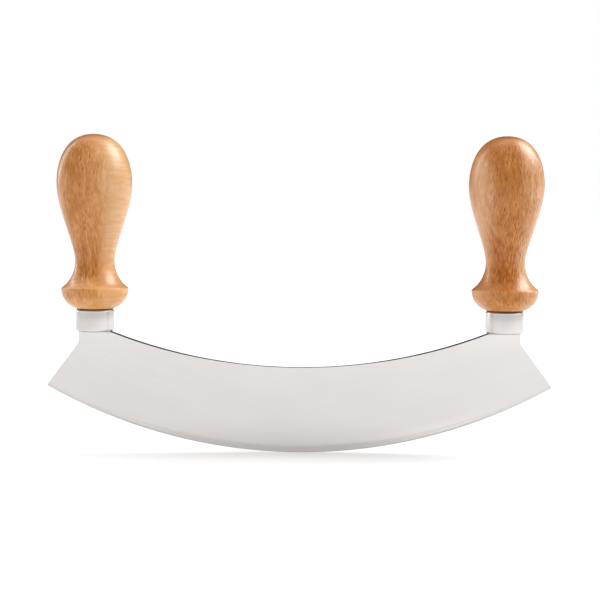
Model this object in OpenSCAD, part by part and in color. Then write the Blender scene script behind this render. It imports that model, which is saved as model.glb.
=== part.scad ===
// Mezzaluna: one curved rocking blade with an upright turned handle at each end.
// Sizes are in millimetres, angles in degrees.
// The origin is the lowest point of the cutting edge.
// +X runs along the blade, +Y through its thickness and +Z up to the knobs.

/* [Blade] */
// Length of the blade from tip to tip
blade_len = 260; // [230:1:290]
// Thickness of the blade's sheet
blade_t = 1.8; // [1.5:0.1:2.5]
// Radius of the cutting edge, which the blade rocks on
edge_r = 265; // [235:1:320]
// Depth of the blade at its middle, from the spine to the edge
blade_depth = 44.3; // [36:0.1:56]
// Radius of the hollow spine
spine_r = 268; // [235:1:330]
// Distance of each tip beyond the axis of its handle
tip_reach = 24.5; // [20:0.5:32]
// Height of the upright flat that blunts each tip
tip_flat = 1.2; // [0.5:0.1:2.5]
// Height of the upright neck under each handle
neck_h = 5.7; // [3:0.1:9]
// Radius of the inside corner between the neck and the end cut
neck_fillet = 5; // [1:0.5:8]

/* [Grind] */
// Height of the ground bevel at the middle of the cutting edge
bevel_h = 3.6; // [2:0.1:6]
// Height above the edge at which the sheet starts to thin, at the middle
grind_h = 14; // [8:0.5:20]
// Thickness of the blade at the top of the bevel
bevel_t = 1.3; // [0.8:0.1:1.4]
// Thickness to which the bevel brings the sheet at the middle of the edge
bevel_foot_t = 0.35; // [0.25:0.05:0.6]
// Extra radius of the sweep that the bevel is ground on, which narrows it towards the tips
sweep_extra = 26; // [5:1:60]
// Angle between the honed edge on each side and the blade's middle plane
hone_angle = 20; // [15:1:30]
// Thickness left at the cutting edge
edge_t = 0.2; // [0.1:0.05:0.4]

/* [Tangs] */
// Length of each tang above the blade's shoulder
tang_len = 62; // [45:1:72]
// Width of the tang at the shoulder
tang_w = 9; // [7:0.5:11]
// Width of the tang at its blunt point
tang_tip_w = 5.5; // [4:0.5:7]
// Depth of the step from the blade's face down to the tang's face
tang_step = 0.15; // [0.05:0.05:0.3]
// Number of notches along each edge of the tang
notches = 3; // [1:1:3]
// Radius of each notch
notch_r = 1.2; // [0.6:0.1:1.4]
// Distance from one notch to the next
notch_pitch = 12; // [6:0.5:13]
// Height of the lowest notch above the shoulder
notch_start = 22; // [16:0.5:26]

/* [Ferrules] */
// Outer diameter of the ferrule
ferrule_d = 19.7; // [18.5:0.1:22]
// Height of the ferrule
ferrule_h = 11; // [8:0.5:15]
// Wall and floor thickness of the ferrule
ferrule_wall = 0.8; // [0.6:0.1:1.2]
// Outer radius of the ferrule's drawn bottom edge
ferrule_round = 1.5; // [1:0.1:2.5]
// Radius of the outer edge of the ferrule's rim
rim_round = 0.3; // [0.1:0.05:0.35]

/* [Handles] */
// Length of the handle above the ferrule
handle_len = 90; // [80:1:105]
// Diameter of the knob at its widest
knob_d = 38.3; // [34:0.1:44]
// Height of the knob's widest place above the ferrule
knob_h = 65; // [55:0.5:72]
// Diameter of the waist
waist_d = 20.1; // [18:0.1:24]
// Height of the waist above the ferrule
waist_h = 24.8; // [20:0.1:32]
// Diameter of the lip above the bead
lip_d = 34.3; // [30:0.1:38]
// Height of the lip above the ferrule
lip_h = 11; // [8:0.1:14]
// Radius of the lip's upper edge
lip_round = 0.7; // [0.3:0.1:1.5]
// Height of the fine groove between the bead and the ferrule
groove_h = 0.7; // [0.4:0.1:1.2]
// Pull of the curve upwards at the waist, as a share of the rise to the knob
waist_pull = 0.25; // [0.1:0.01:0.45]
// Pull of the curve downwards at the knob, as a share of the same rise
belly_pull = 0.35; // [0.1:0.01:0.5]
// Pull of the curve upwards at the knob, as a share of the crown's height
crown_side_pull = 0.38; // [0.2:0.01:0.6]
// Pull of the curve outwards at the top, as a share of the knob's radius
crown_top_pull = 0.81; // [0.5:0.01:0.9]

/* [Joinery] */
// Width of the wood's seat on the ferrule's rim
rim_seat = 0.25; // [0.1:0.05:0.3]
// Radial clearance of the wood's tenon inside the ferrule
tenon_fit = 0.05; // [0.02:0.01:0.15]
// Gap between the tenon's end and the ferrule's floor
tenon_end_gap = 0.3; // [0.1:0.1:1]
// Clearance of the ferrule's slot on each side of the tang
slot_fit = 0.15; // [0.05:0.05:0.3]
// Room for resin between the tang's edge and the wall of the bore
bore_room = 1; // [0.5:0.1:2]
// Depth of the bore beyond the tang's point
bore_spare = 3; // [1:0.5:6]
// Angle of the drill point that ends the bore
drill_angle = 118; // [90:1:140]

/* [Hidden] */

LEFT = -1;
RIGHT = 1;
// Segments of a full turn on large and on small rounds
BIG_ROUND = 256;
SMALL_ROUND = 96;
// Length by which a cutting shape runs past what it cuts
past = 1;

half_len = blade_len / 2;
handle_x = half_len - tip_reach;
ferrule_r = ferrule_d / 2;
ferrule_bore_r = ferrule_r - ferrule_wall;
cup_round = max(ferrule_round - ferrule_wall, 0.1);

// The neck is as wide as the flat part of the ferrule's bottom
neck_w = 2 * (ferrule_r - ferrule_round);
neck_outer_x = handle_x + neck_w / 2;
neck_inner_x = handle_x - neck_w / 2;
spine_centre_z = blade_depth + spine_r;
sweep_r = edge_r + sweep_extra;
// The shoulder that carries the ferrule starts where the spine reaches the neck
shoulder_z = spine_centre_z - sqrt(spine_r ^ 2 - neck_inner_x ^ 2);
neck_z = shoulder_z - neck_h;
tip_z = edge_r - sqrt(edge_r ^ 2 - half_len ^ 2);
tip_top_z = tip_z + tip_flat;

tang_t = blade_t - 2 * tang_step;
tang_point_h = (tang_w - tang_tip_w) / 2 + tang_tip_w / 4;

waist_r = waist_d / 2;
knob_r = knob_d / 2;
lip_r = lip_d / 2;
groove_r = ferrule_bore_r + rim_seat;
tenon_r = ferrule_bore_r - tenon_fit;
tenon_start = ferrule_wall + tenon_end_gap;
bore_r = tang_w / 2 + bore_room;
bore_top = tang_len + bore_spare;

// Radius of an arc that starts upright and moves dr sideways over dh upwards
function upright_arc_r(dr, dh) = (dr ^ 2 + dh ^ 2) / (2 * dr);

// Points of an arc about a centre, without its first point
function arc(centre, r, from, to, steps) = [
    for (i = [1:steps])
        let (a = from + (to - from) * i / steps)
            centre + r * [cos(a), sin(a)]
];

// Points of a cubic curve from p0 to p3 that p1 and p2 pull on, without its first point
function curve(p0, p1, p2, p3, steps) = [
    for (i = [1:steps])
        let (t = i / steps, u = 1 - t)
            u ^ 3 * p0 + 3 * u ^ 2 * t * p1 + 3 * u * t ^ 2 * p2 + t ^ 3 * p3
];

// Width of the tang at a height above the shoulder
function tang_width(h) = tang_w + (tang_tip_w - tang_w) * h / tang_len;

// Puts a handle's piece on the shoulder at one end of the blade
module at_end(side) {
    translate([side * handle_x, 0, shoulder_z])
        children();
}

// Stands a flat outline upright, centred on the blade's thickness
module upright(thickness) {
    rotate([90, 0, 0])
        linear_extrude(thickness, center = true)
            children();
}

// The rounded inside corner that fills out the angle between the neck and the end cut
module neck_corner() {
    end_cut = [half_len - neck_outer_x, tip_top_z - neck_z];
    end_cut_dir = end_cut / norm(end_cut);
    // Angle of the air between the upright neck and the end cut
    open_angle = acos(end_cut_dir.y);
    reach = neck_fillet / tan(open_angle / 2);
    translate([neck_outer_x, neck_z])
        difference() {
            polygon([
                [0, 0],
                reach * end_cut_dir,
                [neck_fillet, reach],
                [0, reach],
            ]);
            translate([neck_fillet, reach])
                circle(neck_fillet, $fn = SMALL_ROUND);
        }
}

// The blade seen from the front, without its curved edge and its tangs
module blade_outline() {
    difference() {
        union() {
            polygon([
                [-half_len, -past],
                [half_len, -past],
                [half_len, tip_top_z],
                [neck_outer_x, neck_z],
                [neck_outer_x, shoulder_z],
                [-neck_outer_x, shoulder_z],
                [-neck_outer_x, neck_z],
                [-half_len, tip_top_z],
            ]);
            neck_corner();
            mirror([1, 0])
                neck_corner();
        }
        translate([0, spine_centre_z])
            circle(spine_r, $fn = BIG_ROUND);
    }
}

// A full round of sheet that stands on the origin, from the front half of its section
module sheet_round(r, front) {
    back = [for (i = [len(front) - 1:-1:0]) [front[i].x, -front[i].y]];
    translate([0, 0, r])
        rotate([90, 0, 0])
            rotate_extrude($fn = BIG_ROUND)
                polygon(concat(front, back));
}

// The sheet as it is ground: thinned in a hollow curve, then bevelled. Its sweep is wider
// than the cutting edge, so both fade towards the tips.
module ground_round() {
    steps = 6;
    full = blade_t / 2;
    hollow = [
        for (i = [0:steps])
            let (s = i / steps)
                [
                    sweep_r - grind_h + s * (grind_h - bevel_h),
                    full - s ^ 2 * (blade_t - bevel_t) / 2,
                ]
    ];
    foot = [[sweep_r, bevel_foot_t / 2], [sweep_r + past, bevel_foot_t / 2]];
    sheet_round(sweep_r, concat([[0, full]], hollow, foot));
}

// A round whose rim is the cutting edge, honed to the same angle all along
module honed_round() {
    hone_reach = (blade_t - edge_t / 2) / tan(hone_angle);
    sheet_round(edge_r, [
        [0, blade_t],
        [edge_r - hone_reach, blade_t],
        [edge_r, edge_t / 2],
    ]);
}

// The tang seen from the front: tapered, notched and blunt at its point
module tang_outline(root) {
    body_h = tang_len - tang_point_h;
    half_top = tang_width(body_h) / 2;
    difference() {
        polygon([
            [-tang_w / 2, -root],
            [tang_w / 2, -root],
            [tang_w / 2, 0],
            [half_top, body_h],
            [tang_tip_w / 4, tang_len],
            [-tang_tip_w / 4, tang_len],
            [-half_top, body_h],
            [-tang_w / 2, 0],
        ]);
        for (i = [0:notches - 1], side = [LEFT, RIGHT]) {
            h = notch_start + i * notch_pitch;
            translate([side * tang_width(h) / 2, h])
                circle(notch_r, $fn = SMALL_ROUND);
        }
    }
}

// One tang, which runs down into the blade by the length of its root
module tang(side, root = 0) {
    at_end(side)
        upright(tang_t)
            tang_outline(root);
}

module blade() {
    color([0.86, 0.85, 0.84]) {
        intersection() {
            ground_round();
            honed_round();
            upright(2 * blade_t)
                blade_outline();
        }
        tang(LEFT, root = neck_h);
        tang(RIGHT, root = neck_h);
    }
}

// Half section of the ferrule, a drawn cup with its mouth up
function ferrule_section() = concat(
    [[0, 0], [ferrule_r - ferrule_round, 0]],
    arc([ferrule_r - ferrule_round, ferrule_round], ferrule_round, -90, 0, 8),
    [[ferrule_r, ferrule_h - rim_round]],
    arc([ferrule_r - rim_round, ferrule_h - rim_round], rim_round, 0, 90, 4),
    [[ferrule_bore_r, ferrule_h], [ferrule_bore_r, ferrule_wall + cup_round]],
    arc([ferrule_bore_r - cup_round, ferrule_wall + cup_round], cup_round, 0, -90, 6),
    [[0, ferrule_wall]]
);

module ferrule(side) {
    slot_w = tang_w + 2 * slot_fit;
    slot_t = tang_t + 2 * slot_fit;
    color([0.80, 0.79, 0.78])
        at_end(side)
            difference() {
                rotate_extrude($fn = SMALL_ROUND)
                    polygon(ferrule_section());
                translate([-slot_w / 2, -slot_t / 2, -past])
                    cube([slot_w, slot_t, ferrule_wall + 2 * past]);
            }
}

// Half section of the handle's outside, with heights counted from the ferrule's rim
function handle_section() =
    let (
        tenon_end = tenon_start - ferrule_h,
        // The bead swells from the groove to the lip
        bead_r = upright_arc_r(lip_r - groove_r, lip_h - groove_h),
        bead_centre = [lip_r - bead_r, lip_h],
        bead_from = atan2(groove_h - lip_h, groove_r - bead_centre.x),
        // The cove sweeps from the lip's rounded edge in to the waist
        cove_r = upright_arc_r(lip_r - waist_r, waist_h - lip_h) - lip_round,
        cove_centre = [waist_r + cove_r, waist_h],
        lip_centre = [lip_r - lip_round, lip_h],
        lip_to = atan2(waist_h - lip_h, cove_centre.x - lip_centre.x),
        rise = knob_h - waist_h,
        crown_h = handle_len - knob_h
    )
    concat(
        [
            [0, tenon_end],
            [tenon_r - cup_round, tenon_end],
            [tenon_r, tenon_end + cup_round],
            [tenon_r, 0],
            [groove_r, 0],
            [groove_r, groove_h],
        ],
        arc(bead_centre, bead_r, bead_from, 0, 10),
        arc(lip_centre, lip_round, 0, lip_to, 5),
        arc(cove_centre, cove_r, 180 + lip_to, 180, 10),
        curve(
            [waist_r, waist_h],
            [waist_r, waist_h + waist_pull * rise],
            [knob_r, knob_h - belly_pull * rise],
            [knob_r, knob_h],
            18
        ),
        curve(
            [knob_r, knob_h],
            [knob_r, knob_h + crown_side_pull * crown_h],
            [crown_top_pull * knob_r, handle_len],
            [0, handle_len],
            18
        )
    );

// The blind hole drilled up the handle for the tang, with the drill's point at its top
module bore_space() {
    point_h = bore_r / tan(drill_angle / 2);
    rotate_extrude($fn = SMALL_ROUND)
        polygon([
            [0, tenon_start],
            [bore_r, tenon_start],
            [bore_r, bore_top],
            [0, bore_top + point_h],
        ]);
}

module handle(side) {
    color([0.80, 0.56, 0.34])
        at_end(side)
            difference() {
                translate([0, 0, ferrule_h])
                    rotate_extrude($fn = SMALL_ROUND)
                        polygon(handle_section());
                bore_space();
            }
}

// The set resin that fills the bore round the tang and keys into its notches
module tang_resin(side) {
    color([0.78, 0.69, 0.44])
        difference() {
            at_end(side)
                bore_space();
            tang(side);
        }
}

blade();
ferrule(LEFT);  // ferrule_left
ferrule(RIGHT);  // ferrule_right
handle(LEFT);  // handle_left
handle(RIGHT);  // handle_right
tang_resin(LEFT);  // tang_resin_left
tang_resin(RIGHT);  // tang_resin_right
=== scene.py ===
"""Looks of the mezzaluna: materials, floor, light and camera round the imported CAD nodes.

Lengths are in metres in the row frame, and in millimetres inside the materials of the pieces.
Many values of a material are ramps: the two places where a measure starts and stops to count, and
then what it gives there, which is 0 and 1 where the ramp says no more. The size of a pattern is
the length of one feature in each direction.
"""
import math
from typing import NamedTuple

import bpy
from mathutils import Matrix, Vector


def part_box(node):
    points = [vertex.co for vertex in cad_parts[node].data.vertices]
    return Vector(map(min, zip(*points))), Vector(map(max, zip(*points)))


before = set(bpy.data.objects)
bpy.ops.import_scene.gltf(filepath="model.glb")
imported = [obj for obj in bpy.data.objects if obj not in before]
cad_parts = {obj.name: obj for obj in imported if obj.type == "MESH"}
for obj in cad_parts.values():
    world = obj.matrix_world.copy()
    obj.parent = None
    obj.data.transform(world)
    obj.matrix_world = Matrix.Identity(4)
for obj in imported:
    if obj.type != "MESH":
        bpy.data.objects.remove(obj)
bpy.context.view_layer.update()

MM = 0.001


def rgb(red, green, blue):
    return (red, green, blue, 1.0)


# Camera: place, downward pitch, roll, lens on a 36 mm sensor, and nearest thing it sees
CAMERA_PLACE = (0.00005, -0.6169, 0.11688)
CAMERA_PITCH = 3.5
CAMERA_ROLL = 0.34
CAMERA_LENS = 72
CAMERA_SEES_FROM = 0.01

# Softboxes: name, azimuth from the camera's side towards +X, elevation, distance,
# width, height and radiance
SOFTBOXES = (
    ("key", 100, 41, 1.6, 1.05, 1.05, 3.8),
    ("top", 100, 82, 1.7, 1.8, 1.6, 0.55),
    ("right_panel", 84, 33, 1.9, 1.2, 1.2, 1.3),
    ("left_strip", -122, 24, 2.0, 0.4, 1.6, 3.9),
)
SOFTBOX_AIM = (0, 0, 0.08)

# Light of the room on surfaces, and its white as seen by the camera and in gloss
ROOM_LIGHT = 0.67
ROOM_WHITE = 1.0
# What gloss meets of the room's unlit front, its lit back, its ceiling and the dark far wall
ROOM_DIM = 0.20
ROOM_SIDE = 0.85
ROOM_CEILING = 0.2
ROOM_FAR = 0.08
# Where these start, by how far a direction points to the back or up
LIT_BACKWARD = (-0.1, 0.6)
FLOOR_UPWARD = (0.32, -0.05)
CEILING_UPWARD = (0.80, 0.97)
FAR_BACKWARD = (0.72, 0.92)
FAR_UPWARD = (-0.03, 0.06)
FAR_WIDENS = (0.06, 0.40, 0.0, 0.22)
# A window in gloss: azimuth, elevation, half its width with and without its soft rim, and white
WINDOW_AZIMUTH = 107
WINDOW_ELEVATION = 46
WINDOW_INNER = 8
WINDOW_OUTER = 23
WINDOW_WHITE = 6.6

FLOOR_SIDE = 14
FLOOR_TONE = 0.82
# White added to what is seen of the floor, by the distance from its middle
FLOOR_WHITE = (0.35, 1.6, 0.20, 0.55)

# Turned nodes: points nearer than this many metres are one, and edges are real from this angle on
WELD_WITHIN = 0.0000001
SHARP_FROM = 30

# The handles' distance from the middle, the ferrules' radius and the heights of their foot and rim
ferrule_low, ferrule_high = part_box("ferrule_right")
HANDLE_X = (ferrule_high.x + ferrule_low.x) / 2 / MM
FERRULE_R = (ferrule_high.x - ferrule_low.x) / 2 / MM
FERRULE_FOOT_Z = ferrule_low.z / MM
RIM_Z = ferrule_high.z / MM

# The blade's edge, the wider sweep of its bevel and its spine, as the part's source has them
EDGE_R = 265
SWEEP_R = EDGE_R + 26
SPINE_R = 268
BEVEL_H = 3.6
BLADE_DEPTH = 44.3
SPINE_CENTRE_Z = BLADE_DEPTH + SPINE_R

# Height of the handles' lip. In the wood, heights are over the ferrule's rim.
LIP_H = 11


class Tree:
    """A node tree under construction. Each method adds nodes and returns their output."""

    def __init__(self, tree):
        self.tree = tree
        tree.nodes.clear()

    def node(self, kind, **settings):
        made = self.tree.nodes.new(kind)
        for name, value in settings.items():
            setattr(made, name, value)
        return made

    def put(self, socket, value):
        if isinstance(value, bpy.types.NodeSocket):
            self.tree.links.new(value, socket)
        else:
            socket.default_value = value

    def math(self, operation, *values):
        made = self.node("ShaderNodeMath", operation=operation)
        for socket, value in zip(made.inputs, values):
            self.put(socket, value)
        return made.outputs[0]

    def plus(self, first, *others):
        for other in others:
            first = self.math("ADD", first, other)
        return first

    def minus(self, first, second):
        return self.math("SUBTRACT", first, second)

    def times(self, first, *others):
        for other in others:
            first = self.math("MULTIPLY", first, other)
        return first

    def power(self, base, exponent):
        return self.math("POWER", base, exponent)

    def most(self, first, second):
        return self.math("MAXIMUM", first, second)

    def off(self, value, middle):
        """How far a value is from a middle, either way."""
        return self.math("ABSOLUTE", self.minus(value, middle))

    def vector(self, operation, *values):
        made = self.node("ShaderNodeVectorMath", operation=operation)
        for socket, value in zip(made.inputs, values):
            self.put(socket, value)
        return made.outputs[1 if operation in ("LENGTH", "DOT_PRODUCT") else 0]

    def split(self, vector):
        made = self.node("ShaderNodeSeparateXYZ")
        self.put(made.inputs[0], vector)
        return made.outputs

    def join(self, x, y, z):
        made = self.node("ShaderNodeCombineXYZ")
        for socket, value in zip(made.inputs, (x, y, z)):
            self.put(socket, value)
        return made.outputs[0]

    def step(self, value, low, high, to_low=0.0, to_high=1.0):
        """Eases from to_low to to_high while value goes from low to high."""
        made = self.node("ShaderNodeMapRange", interpolation_type="SMOOTHSTEP")
        for socket, given in zip(made.inputs, (value, low, high, to_low, to_high)):
            self.put(socket, given)
        return made.outputs[0]

    def span(self, value, low, high, to_low=0.0, to_high=1.0):
        """Goes straight from to_low to to_high while value goes from low to high."""
        made = self.node("ShaderNodeMapRange")
        for socket, given in zip(made.inputs, (value, low, high, to_low, to_high)):
            self.put(socket, given)
        return made.outputs[0]

    def factor(self, share, full):
        """Goes from 1 to full while share goes from 0 to 1."""
        return self.span(share, 0, 1, 1.0, full)

    def noise(self, vector, size, detail=2, roughness=0.5):
        """Noise about 0.5."""
        made = self.node("ShaderNodeTexNoise")
        self.put(made.inputs["Vector"], self.vector("DIVIDE", vector, size))
        made.inputs["Scale"].default_value = 1.0
        made.inputs["Detail"].default_value = detail
        made.inputs["Roughness"].default_value = roughness
        return made.outputs["Fac"]

    def cells(self, vector, size):
        """Distance to the nearest of scattered points, in sizes, and that point's random colour."""
        made = self.node("ShaderNodeTexVoronoi")
        self.put(made.inputs["Vector"], self.vector("DIVIDE", vector, size))
        made.inputs["Scale"].default_value = 1.0
        return made.outputs["Distance"], made.outputs["Color"]

    def mixed(self, data_type, kind, share, first, second):
        made = self.node("ShaderNodeMix", data_type=data_type)
        inputs = {socket.identifier: socket for socket in made.inputs}
        outputs = {socket.identifier: socket for socket in made.outputs}
        self.put(inputs["Factor_Float"], share)
        self.put(inputs["A_" + kind], first)
        self.put(inputs["B_" + kind], second)
        return outputs["Result_" + kind]

    def mix(self, share, first, second):
        """The first colour, with a share of the second."""
        return self.mixed("RGBA", "Color", share, first, second)

    def mix_value(self, share, first, second):
        """The first number, with a share of the second."""
        return self.mixed("FLOAT", "Float", share, first, second)

    def toned(self, color, tone, green=1, blue=1):
        """A colour times a tone, which is raised to powers of its own in green and blue."""
        parts = [tone if power == 1 else self.power(tone, power) for power in (1, green, blue)]
        return self.vector("MULTIPLY", color, self.join(*parts))

    def bump(self, height, strength, distance):
        made = self.node("ShaderNodeBump")
        made.inputs["Strength"].default_value = strength
        made.inputs["Distance"].default_value = distance
        self.put(made.inputs["Height"], height)
        return made.outputs[0]

    def place(self):
        """The point on the object in millimetres of the row frame."""
        made = self.node("ShaderNodeTexCoord")
        return self.vector("MULTIPLY", made.outputs["Object"], (1 / MM,) * 3)

    def face(self):
        """The direction that the surface faces."""
        return self.node("ShaderNodeTexCoord").outputs["Normal"]

    def seen(self):
        """1 for rays from the camera, in gloss and through glass, 0 for light on surfaces."""
        path = self.node("ShaderNodeLightPath").outputs
        gloss = self.most(path["Is Glossy Ray"], path["Is Transmission Ray"])
        return self.most(path["Is Camera Ray"], gloss)


def new_material(name):
    """A new material and its empty tree."""
    material = bpy.data.materials.new(name)
    material.use_nodes = True
    return material, Tree(material.node_tree)


def finish_surface(tree, color, roughness, normal, **others):
    """Ends a tree in one Principled shader."""
    shader = tree.node("ShaderNodeBsdfPrincipled")
    tree.put(shader.inputs["Base Color"], color)
    tree.put(shader.inputs["Roughness"], roughness)
    tree.put(shader.inputs["Normal"], normal)
    for name, value in others.items():
        tree.put(shader.inputs[name.replace("_", " ")], value)
    output = tree.node("ShaderNodeOutputMaterial")
    tree.put(output.inputs["Surface"], shader.outputs[0])


class Beech(NamedTuple):
    """What differs between the wood of the two handles."""

    # Place of the handle's axis, and a shift of all its patterns
    axis_x: float
    seed: tuple
    # Degrees from -Y, towards +X, at which the rays come out of the wood
    turn: float
    pale: tuple
    dark: tuple
    ray: tuple
    # Share of the long dashes that show
    ray_share: float
    # Strength of the streaks where the rays come out, and where they lie in the surface
    gain: float
    side_gain: float
    # Share of the paler wood and painted light round the +X side of the knob and of the waist
    flank: float
    waist_flank: float
    # Share of the pale wood and painted light on the -X side, and of the darker wood through the waist
    sap_and_light: float
    heart: float
    # Painted light and shade on the cove's dim side, the bead and the crown
    cove: float
    bead: float
    crown_light: float
    # Weight of the lacquer
    coat: float


LEFT_BEECH = Beech(
    axis_x=-HANDLE_X, seed=(3.1, 7.7, 41.0), turn=-25,
    pale=rgb(0.708, 0.310, 0.102), dark=rgb(0.603, 0.236, 0.050), ray=rgb(0.34, 0.090, 0.006),
    ray_share=0.75, gain=0.95, side_gain=0.10, flank=0.62, waist_flank=0.32, sap_and_light=0.0, heart=0.36,
    cove=1.26, bead=1.13, crown_light=0.98, coat=0.67,
)
RIGHT_BEECH = Beech(
    axis_x=HANDLE_X, seed=(57.3, 23.9, 12.0), turn=8,
    pale=rgb(0.580, 0.215, 0.049), dark=rgb(0.505, 0.168, 0.025), ray=rgb(0.28, 0.060, 0.002),
    ray_share=0.85, gain=1.2, side_gain=0.75, flank=0.44, waist_flank=0.54, sap_and_light=0.85, heart=0.56,
    cove=0.99, bead=1.06, crown_light=1.01, coat=0.62,
)

# Patterns in the wood: across the rays, along them and upright
SWAY = {"size": (22, 22, 60), "detail": 1}
SWAY_REACH = (0, 1, -3, 3)
PATCH = {"size": (8, 9, 36)}
STREAK = {"size": (1.6, 2.4, 16), "roughness": 0.6}
FIBRE = {"size": (0.70, 1.1, 5), "detail": 3, "roughness": 0.65}
PORE = {"size": (0.15, 0.2, 0.9)}
FLECK = {"size": (8, 14, 1.3), "detail": 1}
DASH_SIZE = (0.75, 7, 4.0)
FINE_DASH_SIZE = (0.50, 5, 2.4)

# How squarely the surface faces along the rays
FRONT = (0.35, 0.85)
FRONT_DASHES = (0.50, 0.95, 0.02, 1.0)
SIDE_FLECKS = (0.80, 0.35)

# Growth rings: place and wander of their pith, their width, and where in a ring its line lies
PITH_ACROSS = 12
PITH_BEHIND = 60
WANDER = {"size": (5, 1, 60), "detail": 1}
WANDER_REACH = (0, 1, -2.5, 2.5)
RING_WIDTH = 3.1
LATE_STARTS = (0.30, 0.90)
LATE_ENDS = (0.90, 0.99, 1, 0)

# Dashes: outline and depth of the long and of the fine ones
DASH_OUTLINE = (0.44, 0.20)
DASH_DEPTH = 0.90
FINE_DASH_OUTLINE = (0.46, 0.18)
FINE_DASH_DEPTH = 0.50

# Pale wood and painted light on the -X side: how far from the axis, how high, and less at the outermost
# rim
SAP_LIGHT_BESIDE = (6, 15)
SAP_LIGHT_TOP = (84, 74)
SAP_LIGHT_RIM = (-18.2, -15.0, 0.35, 1.0)
SAP_LIGHT_COLOR = rgb(0.80, 0.45, 0.24)
# Its part at the waist: height, reach, share and the way it faces
SAP_LIGHT_WAIST_H = 33
SAP_LIGHT_WAIST_REACH = (14, 6)
SAP_LIGHT_WAIST_SHARE = 0.6
SAP_LIGHT_WAIST_FACES = (-0.45, -0.9)
# Its share over the cove and on the bead, and what it takes from the dashes and streaks
SAP_LIGHT_OVER_COVE = (16, 24, 0.15, 1.0)
SAP_LIGHT_ON_BEAD = (13, 10, 0.0, 0.5)
SAP_LIGHT_HIDES_DASHES = 0.75
SAP_LIGHT_HIDES_STREAKS = 0.6

# Darker wood through the waist: its middle, half its width, its top and foot, and its streaks
HEART_X = -2
HEART_WIDTH = (8.5, 3.5)
HEART_TOP = (47, 27)
HEART_FOOT = (11, 19)
HEART_COLOR = rgb(0.44, 0.116, 0.003)
HEART_STREAKS = 1.7

# Paler wood and painted light round the +X side: the way it faces, and how this shifts on the knob and
# sways
FLANK_LIGHT_FACES = (0.07, 0.72)
FLANK_ON_KNOB = (56, 70, 0, 0.14)
FLANK_SWAYS = 0.04
FLANK_HEIGHTS = (22, 45)
FLANK_FOOT = (9, 13, 0.4, 1.0)
FLANK_LIGHT_COLOR = rgb(0.715, 0.457, 0.250)

# Tones of the patterns, painted light on the underside of the bead, the waist's tone, and painted light
# and shade on the crown
PATCH_TONES = (0.30, 0.70)
STREAK_TONES = (0.3, 0.7, 1.08, 0.90)
FIBRE_TONES = (0.25, 0.75, 1.22, 0.78)
PORE_TONES = (0.3, 0.7, 1.03, 0.97)
LATE_TONES = (0, 1, 1.01, 0.95)
FLECK_TONES = (0.3, 0.7, 0.94, 1.07)
UNDERSIDE_LIGHT_TONES = (-0.2, -0.7, 1.0, 1.14)
WAIST_LIFT_H = 27
WAIST_LIFT = (16, 7, 1.0, 1.03)
CROWN_LIGHT_HEIGHTS = (60, 76)
# Powers of a tone in green and blue, so that darker wood is also redder
TONE_POWERS = (1.7, 3.2)
BEAD_POWERS = (1.8, 2.8)

# The cove: how far up it faces, its height, and its sunny, dim and far sides; the sunny side gets
# painted shade
COVE_FACES_UP = (0.25, 0.75)
COVE_HEIGHTS = (24, 16)
COVE_SUNNY = (0.05, 0.45)
COVE_SUNNY_SHADE_TONE = 0.87
COVE_DIM = (0.45, 0.05)
COVE_FAR = (-0.55, -0.15, 0.5, 1.0)
# Darker end grain on the top of the knob, which also paints shade along its rim
END_FACES_UP = (0.78, 0.98)
END_HEIGHTS = (40, 60)
END_GRAIN_AND_SHADE_TONE = 0.70

# Painted light on the bead, and a painted highlight along the lip's edge
BEAD_STARTS = (LIP_H + 0.3, LIP_H - 0.9)
LIP_HIGHLIGHT_FOOT = (LIP_H - 0.9, LIP_H - 0.1)
LIP_HIGHLIGHT_TOP = (LIP_H + 0.9, LIP_H + 0.3)
LIP_HIGHLIGHT_TONE = 1.11

# Painted shade in the groove above the ferrule
GROOVE_TOP = (0.72, 0.95, 1, 0)
GROOVE_FOOT = (0.16, 0.34, 0.3, 1)
GROOVE_DEPTH = 0.95
GROOVE_SHADE_COLOR = rgb(0.022, 0.007, 0.003)

# Roughness and relief of the wood, and its lacquer
FIBRE_ROUGHNESS = (0.25, 0.75, 0.38, 0.46)
DASH_ROUGHNESS = 0.05
GROOVE_ROUGHNESS = 0.4
FIBRE_RELIEF = 0.6
PORE_RELIEF = 0.3
DASH_RELIEF = 0.4
WOOD_BUMP = (0.2, 0.00004)
WOOD_SPECULAR = 0.1
COAT_ROUGHNESS = 0.26


class WoodSpot:
    """A spot on a handle as outputs of nodes: its place, its place in the grain and its facing."""

    def __init__(self, t, beech):
        angle = math.radians(beech.turn)
        out = (math.sin(angle), -math.cos(angle), 0)
        aside = (math.cos(angle), math.sin(angle), 0)
        here = t.vector("SUBTRACT", t.place(), (beech.axis_x, 0, RIM_Z))
        self.x, _, self.height = t.split(here)
        self.sway = t.span(t.noise(t.vector("ADD", here, beech.seed), **SWAY), *SWAY_REACH)
        self.across = t.plus(t.vector("DOT_PRODUCT", here, aside), self.sway)
        self.deep = t.plus(t.vector("DOT_PRODUCT", here, out), self.sway)
        self.grain = t.vector("ADD", t.join(self.across, self.deep, self.height), beech.seed)
        face = t.face()
        self.front = t.math("ABSOLUTE", t.vector("DOT_PRODUCT", face, out))
        self.face_x, _, self.face_up = t.split(face)


def late_wood(t, spot, beech):
    """The darker line that ends each growth ring. The rings bend round a pith behind the handle."""
    from_pith = t.join(t.minus(spot.across, PITH_ACROSS), t.plus(spot.deep, PITH_BEHIND), 0)
    depth = t.vector("LENGTH", from_pith)
    wander = t.noise(t.join(depth, 0, spot.height), **WANDER)
    depth = t.plus(depth, t.span(wander, *WANDER_REACH))
    ring = t.math("FRACT", t.math("DIVIDE", depth, RING_WIDTH))
    line = t.times(t.step(ring, *LATE_STARTS), t.step(ring, *LATE_ENDS))
    return t.times(line, t.step(spot.front, *FRONT, beech.side_gain, 1.0))


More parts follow.
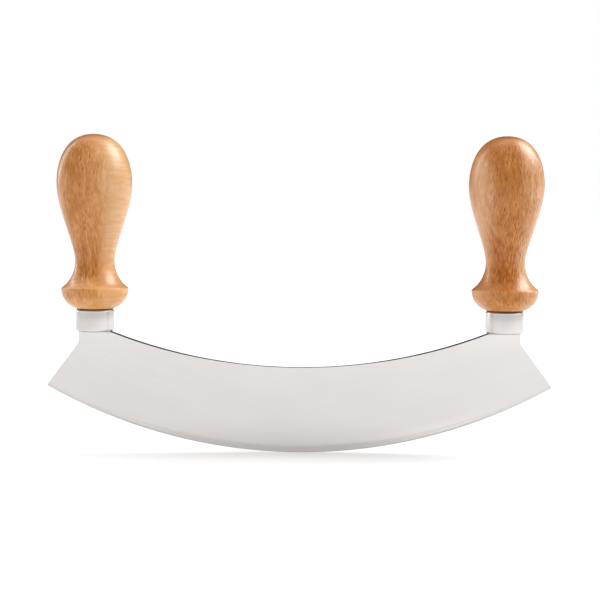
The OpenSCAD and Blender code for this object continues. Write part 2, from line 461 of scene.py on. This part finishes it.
def sap_and_light_share(t, spot):
    """The share of pale wood and painted light on the -X side."""
    beside = t.step(t.minus(spot.sway, spot.x), *SAP_LIGHT_BESIDE)
    side = t.times(beside, t.step(spot.height, *SAP_LIGHT_TOP), t.step(spot.x, *SAP_LIGHT_RIM))
    waist = t.times(t.step(t.off(spot.height, SAP_LIGHT_WAIST_H), *SAP_LIGHT_WAIST_REACH), SAP_LIGHT_WAIST_SHARE)
    return t.most(side, t.times(waist, t.step(spot.face_x, *SAP_LIGHT_WAIST_FACES)))


def heart_wood(t, spot):
    """The share of darker wood through the waist."""
    aside = t.math("ABSOLUTE", t.plus(t.minus(spot.x, HEART_X), spot.sway))
    upright = t.times(t.step(spot.height, *HEART_TOP), t.step(spot.height, *HEART_FOOT))
    return t.times(t.step(aside, *HEART_WIDTH), upright)


def long_dashes(t, spot, beech, sap_and_light):
    """Rays cut across, as thin dark dashes."""
    distance, tone = t.cells(spot.grain, DASH_SIZE)
    shown = t.step(t.split(tone)[0], 1 - beech.ray_share, 1)
    hidden = t.factor(sap_and_light, 1 - SAP_LIGHT_HIDES_DASHES * beech.sap_and_light)
    return t.times(t.step(distance, *DASH_OUTLINE), shown, hidden)


def fine_dashes(t, spot):
    """Finer rays between the long dashes, each of its own depth."""
    distance, tone = t.cells(spot.grain, FINE_DASH_SIZE)
    return t.times(t.step(distance, *FINE_DASH_OUTLINE), t.split(tone)[1])


def plain_beech(t, spot, beech, sap_and_light, heart):
    """The colour of the wood before its grain, with paler wood and painted light on its +X and -X
    sides.
    """
    color = t.mix(t.step(t.noise(spot.grain, **PATCH), *PATCH_TONES), beech.dark, beech.pale)
    # Paler wood and painted light on the side that faces +X
    shift = t.plus(spot.face_x, t.step(spot.height, *FLANK_ON_KNOB))
    facing_x = t.plus(shift, t.times(spot.sway, FLANK_SWAYS))
    flank = t.step(spot.height, *FLANK_HEIGHTS, beech.waist_flank, beech.flank)
    flank = t.times(flank, t.step(spot.height, *FLANK_FOOT))
    color = t.mix(t.times(t.step(facing_x, *FLANK_LIGHT_FACES), flank), color, FLANK_LIGHT_COLOR)
    # Pale wood and painted light on the -X side
    beside = t.most(t.step(spot.height, *SAP_LIGHT_OVER_COVE), t.step(spot.height, *SAP_LIGHT_ON_BEAD))
    color = t.mix(t.times(sap_and_light, beside, beech.sap_and_light), color, SAP_LIGHT_COLOR)
    return t.mix(t.times(heart, beech.heart), color, HEART_COLOR)


def grain_tone(t, spot, beech, sap_and_light, heart, fibre, pore):
    """The tone of streaks, fibres, pores, rings and flecks."""
    streak = t.span(t.noise(spot.grain, **STREAK), *STREAK_TONES)
    upright = t.times(streak, t.span(fibre, *FIBRE_TONES))
    strength = t.step(spot.front, *FRONT, beech.side_gain, beech.gain)
    strength = t.times(strength, t.factor(heart, HEART_STREAKS))
    strength = t.times(strength, t.factor(sap_and_light, 1 - SAP_LIGHT_HIDES_STREAKS * beech.sap_and_light))
    tone = t.times(t.power(upright, strength), t.span(pore, *PORE_TONES))
    tone = t.times(tone, t.span(late_wood(t, spot, beech), *LATE_TONES))
    flecks = t.span(t.noise(spot.grain, **FLECK), *FLECK_TONES)
    beside = t.step(spot.front, *SIDE_FLECKS, 0.0, 1 - beech.side_gain)
    return t.times(tone, t.mix_value(beside, 1.0, flecks))


def part_tone(t, spot, beech, cove):
    """Painted light on the bead's underside, painted light and shade on the crown and the cove's dim
    side, and the waist's tone.
    """
    # Painted light on faces that point down, and painted light and shade on the crown
    tone = t.step(spot.face_up, *UNDERSIDE_LIGHT_TONES)
    tone = t.times(tone, t.step(spot.height, *CROWN_LIGHT_HEIGHTS, 1.0, beech.crown_light))
    tone = t.times(tone, t.step(t.off(spot.height, WAIST_LIFT_H), *WAIST_LIFT))
    # Painted light and shade on the cove's dim side
    dim_side = t.times(cove, t.step(spot.face_x, *COVE_DIM), t.step(spot.face_x, *COVE_FAR))
    return t.times(tone, t.factor(dim_side, beech.cove))


def dull_tone(t, spot, cove):
    """Painted shade on the cove's sunny side, and darker end grain that also paints shade along the
    knob's top, alike in red, green and blue.
    """
    # Painted shade on the cove's sunny side
    sunny = t.factor(t.times(cove, t.step(spot.face_x, *COVE_SUNNY)), COVE_SUNNY_SHADE_TONE)
    # Darker end grain, which also paints shade along the knob's top
    end = t.times(t.step(spot.face_up, *END_FACES_UP), t.step(spot.height, *END_HEIGHTS))
    return t.times(sunny, t.factor(end, END_GRAIN_AND_SHADE_TONE))


def bead_tone(t, spot, beech):
    """Painted light on the bead, palest in a painted highlight along the lip's edge."""
    line = t.times(t.step(spot.height, *LIP_HIGHLIGHT_FOOT), t.step(spot.height, *LIP_HIGHLIGHT_TOP))
    return t.times(t.step(spot.height, *BEAD_STARTS, 1.0, beech.bead), t.factor(line, LIP_HIGHLIGHT_TONE))


def turned_beech(name, beech):
    """Turned steamed beech with upright fibres under a lacquer, and painted light and shade on its
    sides, cove, bead, crown and groove.
    """
    material, t = new_material(name)
    spot = WoodSpot(t, beech)
    sap_and_light = sap_and_light_share(t, spot)
    heart = heart_wood(t, spot)
    fibre = t.noise(spot.grain, **FIBRE)
    pore = t.noise(spot.grain, **PORE)
    cove = t.times(t.step(spot.face_up, *COVE_FACES_UP), t.step(spot.height, *COVE_HEIGHTS))

    tone = t.times(grain_tone(t, spot, beech, sap_and_light, heart, fibre, pore), part_tone(t, spot, beech, cove))
    color = t.toned(plain_beech(t, spot, beech, sap_and_light, heart), tone, *TONE_POWERS)
    color = t.toned(color, dull_tone(t, spot, cove))
    dash = long_dashes(t, spot, beech, sap_and_light)
    cut = t.most(t.times(dash, DASH_DEPTH), t.times(fine_dashes(t, spot), FINE_DASH_DEPTH))
    color = t.mix(t.times(cut, t.step(spot.front, *FRONT_DASHES)), color, beech.ray)
    color = t.toned(color, bead_tone(t, spot, beech), *BEAD_POWERS)
    # Painted shade in the groove above the ferrule
    groove = t.times(t.step(spot.height, *GROOVE_TOP), t.step(spot.height, *GROOVE_FOOT))
    color = t.mix(t.times(groove, GROOVE_DEPTH), color, GROOVE_SHADE_COLOR)

    rough = t.plus(t.span(fibre, *FIBRE_ROUGHNESS), t.times(dash, DASH_ROUGHNESS))
    rough = t.plus(rough, t.times(groove, GROOVE_ROUGHNESS))
    relief = t.plus(t.times(fibre, FIBRE_RELIEF), t.times(pore, PORE_RELIEF))
    relief = t.minus(relief, t.times(dash, DASH_RELIEF))
    finish_surface(
        t, color, rough, t.bump(relief, *WOOD_BUMP),
        Specular_IOR_Level=WOOD_SPECULAR, Coat_Weight=beech.coat, Coat_Roughness=COAT_ROUGHNESS,
    )
    return material


# Patterns on the blade: along the edge, one part for each side, and up from the edge
BRUSHING = {"size": (26, 1, 0.16), "detail": 4, "roughness": 0.65}
COARSE_BRUSHING = {"size": (60, 1, 1.4)}
GRINDING = {"size": (0.14, 1, 5), "detail": 3}
CLOUDS = {"size": (38, 1, 20), "detail": 1}
CLOUD_TONES = (0.3, 0.7)
BRUSH_TONES = (0.2, 0.8, 0.975, 1.025)
STEEL_GREY = rgb(0.680, 0.653, 0.644)
STEEL_PALE = rgb(0.697, 0.672, 0.664)

# Parts of the blade, by how squarely they face the front or back and by their height
SHEARED_FACES = (0.80, 0.60)
HONED_FACES = (0.975, 0.955)
HONED_UP = (3, 2)
BEVEL_UP = (BEVEL_H + 0.05, BEVEL_H - 0.05)

# The hollow that the sheet is ground to over the bevel, painted darker as shade: the place and reach of
# its darkest stretch
HOLLOW_X = -14
HOLLOW_REACH = (90, 20)
HOLLOW_UP = (10, BEVEL_H)
HOLLOW_SHARE = 0.12
HOLLOW_SHADE_COLOR = rgb(0.62, 0.56, 0.55)
# A painted band of light just over the bevel
BAND_X = 25
BAND_REACH = (95, 40)
BAND_UP = (9, 4.2)
BAND_TONE = 1.075
# The face is painted brighter with height, as light: tone at the foot, gain and power at a height
FOOT_TONE = 0.924
RISE_GAIN = 0.128
RISE_HEIGHT = 55
RISE_POWER = 2.2

# The bevel, greyer ground steel: pale towards the tips, with painted shade along a stretch and its own
# painted tone at the middle
GROUND_X = -22
GROUND_REACH = (85, 30)
GROUND_PALE = rgb(0.70, 0.675, 0.665)
GROUND_DARK_SHADE = rgb(0.61, 0.583, 0.571)
GROUND_MIDDLE_REACH = (45, 5)
GROUND_MIDDLE_SHADE = rgb(0.645, 0.610, 0.595)
# A fine painted line of shade along its top, the honed strip, and a painted dark line along the edge
GROUND_LINE_REACH = (0.35, 0.10)
GROUND_LINE_ALONG = (45, 80, 0.0, 0.22)
HONED_REACH = (80, 112)
HONED_MIDDLE = rgb(0.56, 0.545, 0.54)
HONED_ENDS = rgb(0.62, 0.605, 0.60)
BRINK_UP = (0.55, 0.10)
BRINK_ALONG = (15, 75, 0.25, 0.55)
LINE_COLOR = rgb(0.30, 0.30, 0.30)

# A dark burr along the spine, painted wider towards the handles as a dark reflection, painted shade
# under the ferrules, and sheared edges painted near black as a dark reflection
BURR_REFLECTION_WIDTH = (15, 85, 0.12, 0.50)
BURR_REFLECTION_SOFTNESS = (0.06, -0.06)
CUP_SHADE_DEPTH = (1.0, 0.2)
CUP_SHADE_INWARD = (2, 8, 0.35, 0.7)
SHEARED_AND_SHADE_COLOR = rgb(0.035, 0.035, 0.037)

LINE_ROUGHNESS = (0.2, 0.8, 0.17, 0.25)
COARSE_ROUGHNESS = (0.3, 0.7, -0.015, 0.015)
SHEARED_ROUGHNESS = 0.3
STEEL_BUMP = (0.12, 0.00001)


class BladeSpot:
    """A spot on the blade as outputs of nodes: its place against edge, bevel and spine."""

    def __init__(self, t):
        self.x, y, self.z = t.split(t.place())
        self.off_middle = t.math("ABSOLUTE", self.x)
        self.up = t.minus(EDGE_R, self.from_centre(t, EDGE_R))
        self.ground_up = t.minus(SWEEP_R, self.from_centre(t, SWEEP_R))
        self.over_spine = t.minus(self.from_centre(t, SPINE_CENTRE_Z), SPINE_R)
        along = t.times(t.math("ARCTAN2", self.x, t.minus(EDGE_R, self.z)), EDGE_R)
        self.sweep = t.join(along, t.math("SIGN", y), self.up)
        self.facing = t.math("ABSOLUTE", t.split(t.face())[1])

    def from_centre(self, t, centre_z):
        """Distance from the centre of a round above the blade."""
        below = t.minus(centre_z, self.z)
        return t.math("SQRT", t.plus(t.power(self.x, 2), t.power(below, 2)))


def blade_face(t, spot):
    """The colour of the flat of the blade, with painted shade in the hollow, a painted band of light
    and painted light growing with height.
    """
    cloud = t.span(t.noise(spot.sweep, **CLOUDS), *CLOUD_TONES)
    color = t.mix(cloud, STEEL_GREY, STEEL_PALE)
    # Painted shade in the hollow over the bevel
    middle = t.step(t.off(spot.x, HOLLOW_X), *HOLLOW_REACH)
    hollow = t.times(t.step(spot.ground_up, *HOLLOW_UP), middle)
    color = t.mix(t.times(hollow, HOLLOW_SHARE), color, HOLLOW_SHADE_COLOR)
    # A painted band of light over the bevel
    band = t.times(t.step(spot.ground_up, *BAND_UP), t.step(t.off(spot.x, BAND_X), *BAND_REACH))
    color = t.toned(color, t.factor(band, BAND_TONE))
    # Painted light that grows with height
    rise = t.power(t.math("DIVIDE", spot.z, RISE_HEIGHT), RISE_POWER)
    return t.toned(color, t.plus(FOOT_TONE, t.times(RISE_GAIN, rise)))


def blade_bevel(t, spot):
    """The colour of the ground bevel, with painted shade along a stretch of it."""
    color = t.mix(t.step(t.off(spot.x, GROUND_X), *GROUND_REACH), GROUND_PALE, GROUND_DARK_SHADE)
    return t.mix(t.step(spot.off_middle, *GROUND_MIDDLE_REACH), color, GROUND_MIDDLE_SHADE)


def blade_steel():
    """Satin sheet brushed along the blade, a greyer ground bevel and dull sheared edges, with painted
    shade, light and dark reflections.
    """
    material, t = new_material("blade_satin")
    spot = BladeSpot(t)
    brushing = t.noise(spot.sweep, **BRUSHING)
    bevel = t.step(spot.ground_up, *BEVEL_UP)
    honed = t.times(t.step(spot.facing, *HONED_FACES), t.step(spot.up, *HONED_UP))
    # A burr along the spine, widened and darkened as a painted dark reflection
    burr_and_reflection = t.step(t.minus(spot.over_spine, t.step(spot.off_middle, *BURR_REFLECTION_WIDTH)), *BURR_REFLECTION_SOFTNESS)
    dark = t.most(t.step(spot.facing, *SHEARED_FACES), burr_and_reflection)

    color = t.mix(bevel, blade_face(t, spot), blade_bevel(t, spot))
    # A painted line of shade along the bevel's top
    ground_line = t.step(t.off(spot.ground_up, BEVEL_H), *GROUND_LINE_REACH)
    ground_line = t.times(ground_line, t.step(spot.off_middle, *GROUND_LINE_ALONG))
    color = t.mix(ground_line, color, LINE_COLOR)
    honed_color = t.mix(t.step(spot.off_middle, *HONED_REACH), HONED_MIDDLE, HONED_ENDS)
    color = t.mix(honed, color, honed_color)
    # A painted dark line along the edge
    brink = t.times(t.step(spot.up, *BRINK_UP), t.step(spot.off_middle, *BRINK_ALONG))
    color = t.mix(brink, color, LINE_COLOR)
    color = t.toned(color, t.span(brushing, *BRUSH_TONES))
    under_cup = t.step(t.minus(FERRULE_FOOT_Z, spot.z), *CUP_SHADE_DEPTH)
    under_cup = t.times(under_cup, t.step(t.minus(HANDLE_X, spot.off_middle), *CUP_SHADE_INWARD))
    # Sheared edges painted near black as a dark reflection, and painted shade under the ferrules
    color = t.mix(t.most(dark, under_cup), color, SHEARED_AND_SHADE_COLOR)

    lines = t.mix_value(bevel, brushing, t.noise(spot.sweep, **GRINDING))
    coarse = t.span(t.noise(spot.sweep, **COARSE_BRUSHING), *COARSE_ROUGHNESS)
    rough = t.plus(t.span(lines, *LINE_ROUGHNESS), coarse, t.times(dark, SHEARED_ROUGHNESS))
    finish_surface(
        t, color, rough, t.bump(lines, *STEEL_BUMP), Metallic=t.minus(1, dark), Specular_IOR_Level=0.0,
    )
    return material


# The ferrules: heights are over their foot, and patterns run outward, back and up
DRAWING = {"size": (0.14, 0.14, 14), "detail": 3, "roughness": 0.6}
POLISHING = {"size": (50, 1, 0.2)}
DRAW_BANDS = {"size": (2.2, 2.2, 60), "detail": 1}
DRAWN_TONES = (0.25, 0.75)
DRAWN_GREY = rgb(0.655, 0.631, 0.612)
DRAWN_PALE = rgb(0.715, 0.690, 0.671)
BAND_TONES = (0.3, 0.7, 0.98, 1.02)
# Painted shade, darker towards the ferrule's outer side
OUTWARD_SHADE_TONES = (-9, 9, 1.05, 0.92)
# How squarely the wall faces the front or back, and its painted shade where it faces the sides
WALL_FACES = (0.55, 0.98)
WALL_SIDE_SHADE_TONE = 0.87
# Painted highlights on the rounded foot and the rim, painted light under the bead, a painted highlight
# line along the rim, and painted shade in the joint with the blade
FOOT_ROUND = (1.9, 1.3)
RIM_ROUND = (10.2, 10.5)
ROUND_SHARE = 0.4
ROUND_HIGHLIGHT_COLOR = rgb(0.76, 0.735, 0.715)
UNDER_BEAD = (7.5, 10.4)
UNDER_BEAD_LIGHT_TONE = 1.26
RIM_LINE = (10.0, 10.4, 0, 0.9)
RIM_HIGHLIGHT_COLOR = rgb(1.0, 0.97, 0.94)
JOINT_SHADE = (0.7, 0.15, 0, 0.42)
JOINT_SHADE_COLOR = rgb(0.10, 0.10, 0.10)
DRAWN_ROUGHNESS = (0.2, 0.8, 0.22, 0.29)
POLISH_ROUGHNESS = (0.2, 0.8, -0.02, 0.02)
POLISH_RELIEF = 0.5


def ferrule_steel():
    """Drawn satin steel with fine upright draw lines and faint rings from polishing, with painted shade
    on its sides, painted highlights on its rounds and rim, and painted shade at its foot.
    """
    material, t = new_material("ferrule_satin")
    x, y, z = t.split(t.place())
    outward = t.minus(t.math("ABSOLUTE", x), HANDLE_X)
    height = t.minus(z, FERRULE_FOOT_Z)
    wall = t.join(outward, y, height)
    around = t.times(t.math("ARCTAN2", outward, y), FERRULE_R)
    drawn = t.noise(wall, **DRAWING)
    rings = t.noise(t.join(around, 0, height), **POLISHING)
    facing = t.step(t.math("ABSOLUTE", t.split(t.face())[1]), *WALL_FACES)

    color = t.mix(t.span(drawn, *DRAWN_TONES), DRAWN_GREY, DRAWN_PALE)
    bands = t.span(t.noise(wall, **DRAW_BANDS), *BAND_TONES)
    # Painted shade towards the outer side and where the wall faces the sides
    tone = t.times(bands, t.step(outward, *OUTWARD_SHADE_TONES))
    color = t.toned(color, t.times(tone, t.span(facing, 0, 1, WALL_SIDE_SHADE_TONE, 1.0)))
    # Painted highlights on the rounds, painted light under the bead, a painted highlight line on the
    # rim and painted shade in the joint
    rounds = t.most(t.step(height, *FOOT_ROUND), t.step(height, *RIM_ROUND))
    color = t.mix(t.times(rounds, ROUND_SHARE), color, ROUND_HIGHLIGHT_COLOR)
    under_bead = t.times(t.step(height, *UNDER_BEAD), facing)
    color = t.toned(color, t.factor(under_bead, UNDER_BEAD_LIGHT_TONE))
    color = t.mix(t.times(t.step(height, *RIM_LINE), facing), color, RIM_HIGHLIGHT_COLOR)
    color = t.mix(t.step(height, *JOINT_SHADE), color, JOINT_SHADE_COLOR)

    rough = t.plus(t.span(drawn, *DRAWN_ROUGHNESS), t.span(rings, *POLISH_ROUGHNESS))
    relief = t.plus(drawn, t.times(rings, POLISH_RELIEF))
    finish_surface(t, color, rough, t.bump(relief, *STEEL_BUMP), Metallic=1.0)
    return material


RESIN_CLOUDS = {"size": (4, 4, 6), "detail": 3}
RESIN_CLOUD_TONES = (0.3, 0.7)
RESIN_DARK = rgb(0.52, 0.38, 0.13)
RESIN_PALE = rgb(0.66, 0.52, 0.22)
BUBBLE_SPACING = (1.6, 1.6, 1.6)
BUBBLE_OUTLINE = (0.16, 0.10)
BUBBLE_SHARE = 0.5
BUBBLE_COLOR = rgb(0.80, 0.70, 0.42)
RESIN_ROUGHNESS = (0.3, 0.7, 0.30, 0.42)
RESIN_BUMP = (0.2, 0.0001)


def set_resin():
    """Amber resin, hidden in the handles: cloudy, with a few small bubbles."""
    material, t = new_material("amber_resin")
    here = t.place()
    cloud = t.noise(here, **RESIN_CLOUDS)
    bubble = t.step(t.cells(here, BUBBLE_SPACING)[0], *BUBBLE_OUTLINE)
    color = t.mix(t.span(cloud, *RESIN_CLOUD_TONES), RESIN_DARK, RESIN_PALE)
    color = t.mix(t.times(bubble, BUBBLE_SHARE), color, BUBBLE_COLOR)
    normal = t.bump(t.minus(cloud, bubble), *RESIN_BUMP)
    finish_surface(t, color, t.span(cloud, *RESIN_ROUGHNESS), normal)
    return material


def dress(node, material):
    """Gives a CAD node its one material."""
    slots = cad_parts[node].data.materials
    slots.clear()
    slots.append(material)


def smooth_turned(nodes):
    """Shades the turned CAD nodes as smooth, apart from their real edges."""
    tree = bpy.data.node_groups.new("smooth_turned", "GeometryNodeTree")
    for way in ("INPUT", "OUTPUT"):
        tree.interface.new_socket("Geometry", in_out=way, socket_type="NodeSocketGeometry")
    t = Tree(tree)
    whole = t.node("GeometryNodeMergeByDistance")
    t.put(whole.inputs["Geometry"], t.node("NodeGroupInput").outputs[0])
    t.put(whole.inputs["Distance"], WELD_WITHIN)
    corner = t.node("GeometryNodeInputMeshEdgeAngle").outputs[0]
    shaded = t.node("GeometryNodeSetMeshNormal", mode="SHARPNESS")
    t.put(shaded.inputs["Mesh"], whole.outputs[0])
    t.put(shaded.inputs["Remove Custom"], True)
    t.put(shaded.inputs["Edge Sharpness"], t.math("GREATER_THAN", corner, math.radians(SHARP_FROM)))
    t.put(shaded.inputs["Face Sharpness"], False)
    t.put(t.node("NodeGroupOutput").inputs[0], shaded.outputs[0])
    for node in nodes:
        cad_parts[node].modifiers.new("smooth_turned", "NODES").node_group = tree


def dress_nodes():
    """Gives every CAD node its material. The two handles are cut from different wood."""
    dress("blade", blade_steel())
    steel = ferrule_steel()
    resin = set_resin()
    for side, beech in (("left", LEFT_BEECH), ("right", RIGHT_BEECH)):
        dress("ferrule_" + side, steel)
        dress("tang_resin_" + side, resin)
        dress("handle_" + side, turned_beech("beech_" + side, beech))


def make_floor():
    """A pale matt floor that looks whiter to the camera and in gloss than it lights."""
    bpy.ops.mesh.primitive_plane_add(size=FLOOR_SIDE)
    floor = bpy.context.object
    floor.name = "floor"
    material, t = new_material("pale_floor")
    reach = t.vector("LENGTH", t.node("ShaderNodeTexCoord").outputs["Object"])
    paint = t.node("ShaderNodeBsdfDiffuse")
    paint.inputs["Color"].default_value = rgb(FLOOR_TONE, FLOOR_TONE, FLOOR_TONE)
    glow = t.node("ShaderNodeEmission")
    t.put(glow.inputs["Strength"], t.times(t.step(reach, *FLOOR_WHITE), t.seen()))
    both = t.node("ShaderNodeAddShader")
    t.put(both.inputs[0], paint.outputs[0])
    t.put(both.inputs[1], glow.outputs[0])
    t.put(t.node("ShaderNodeOutputMaterial").inputs["Surface"], both.outputs[0])
    floor.data.materials.append(material)


def heading(azimuth, elevation):
    """The direction at an azimuth from the camera's side towards +X and an elevation, in degrees."""
    turn = math.radians(azimuth)
    rise = math.radians(elevation)
    flat = math.cos(rise)
    return Vector((math.sin(turn) * flat, -math.cos(turn) * flat, math.sin(rise)))


def make_room():
    """The world: even light on surfaces, white for the camera, and a plain studio in gloss."""
    world = bpy.data.worlds.new("room")
    world.use_nodes = True
    bpy.context.scene.world = world
    t = Tree(world.node_tree)
    direction = t.node("ShaderNodeTexCoord").outputs["Generated"]
    _, backward, upward = t.split(direction)
    gloss = t.step(backward, *LIT_BACKWARD, ROOM_DIM, ROOM_SIDE)
    gloss = t.most(gloss, t.step(upward, *FLOOR_UPWARD, 0.0, ROOM_WHITE))
    gloss = t.plus(gloss, t.step(upward, *CEILING_UPWARD, 0.0, ROOM_CEILING))
    reach = t.plus(backward, t.step(upward, *FAR_WIDENS))
    far_wall = t.times(t.step(reach, *FAR_BACKWARD), t.step(upward, *FAR_UPWARD))
    gloss = t.mix_value(far_wall, gloss, ROOM_FAR)
    near_window = t.vector("DOT_PRODUCT", direction, heading(WINDOW_AZIMUTH, WINDOW_ELEVATION))
    outer, inner = (math.cos(math.radians(angle)) for angle in (WINDOW_OUTER, WINDOW_INNER))
    gloss = t.plus(gloss, t.step(near_window, outer, inner, 0.0, WINDOW_WHITE))
    camera_ray = t.node("ShaderNodeLightPath").outputs["Is Camera Ray"]
    white = t.span(camera_ray, 0, 1, gloss, ROOM_WHITE)
    background = t.node("ShaderNodeBackground")
    background.inputs["Color"].default_value = rgb(1, 1, 1)
    t.put(background.inputs["Strength"], t.span(t.seen(), 0, 1, ROOM_LIGHT, white))
    t.put(t.node("ShaderNodeOutputWorld").inputs["Surface"], background.outputs[0])


def make_softbox(name, azimuth, elevation, distance, width, height, radiance):
    """A rectangular lamp that faces the object."""
    light = bpy.data.lights.new(name, "AREA")
    light.shape = "RECTANGLE"
    light.size = width
    light.size_y = height
    light.energy = radiance * math.pi * width * height
    lamp = bpy.data.objects.new(name, light)
    lamp.visible_camera = False
    bpy.context.scene.collection.objects.link(lamp)
    towards = heading(azimuth, elevation)
    lamp.location = Vector(SOFTBOX_AIM) + towards * distance
    lamp.rotation_euler = towards.to_track_quat("Z", "Y").to_euler()


def make_camera():
    data = bpy.data.cameras.new("camera")
    data.lens = CAMERA_LENS
    data.clip_start = CAMERA_SEES_FROM
    camera = bpy.data.objects.new("camera", data)
    bpy.context.scene.collection.objects.link(camera)
    tilt = Matrix.Rotation(math.radians(90 - CAMERA_PITCH), 4, "X")
    roll = Matrix.Rotation(math.radians(CAMERA_ROLL), 4, "Z")
    camera.matrix_world = Matrix.Translation(CAMERA_PLACE) @ tilt @ roll
    bpy.context.scene.camera = camera


make_camera()
make_room()
make_floor()
for softbox in SOFTBOXES:
    make_softbox(*softbox)
dress_nodes()
smooth_turned(("handle_left", "handle_right", "ferrule_left", "ferrule_right"))
bpy.context.scene.view_settings.view_transform = "Standard"
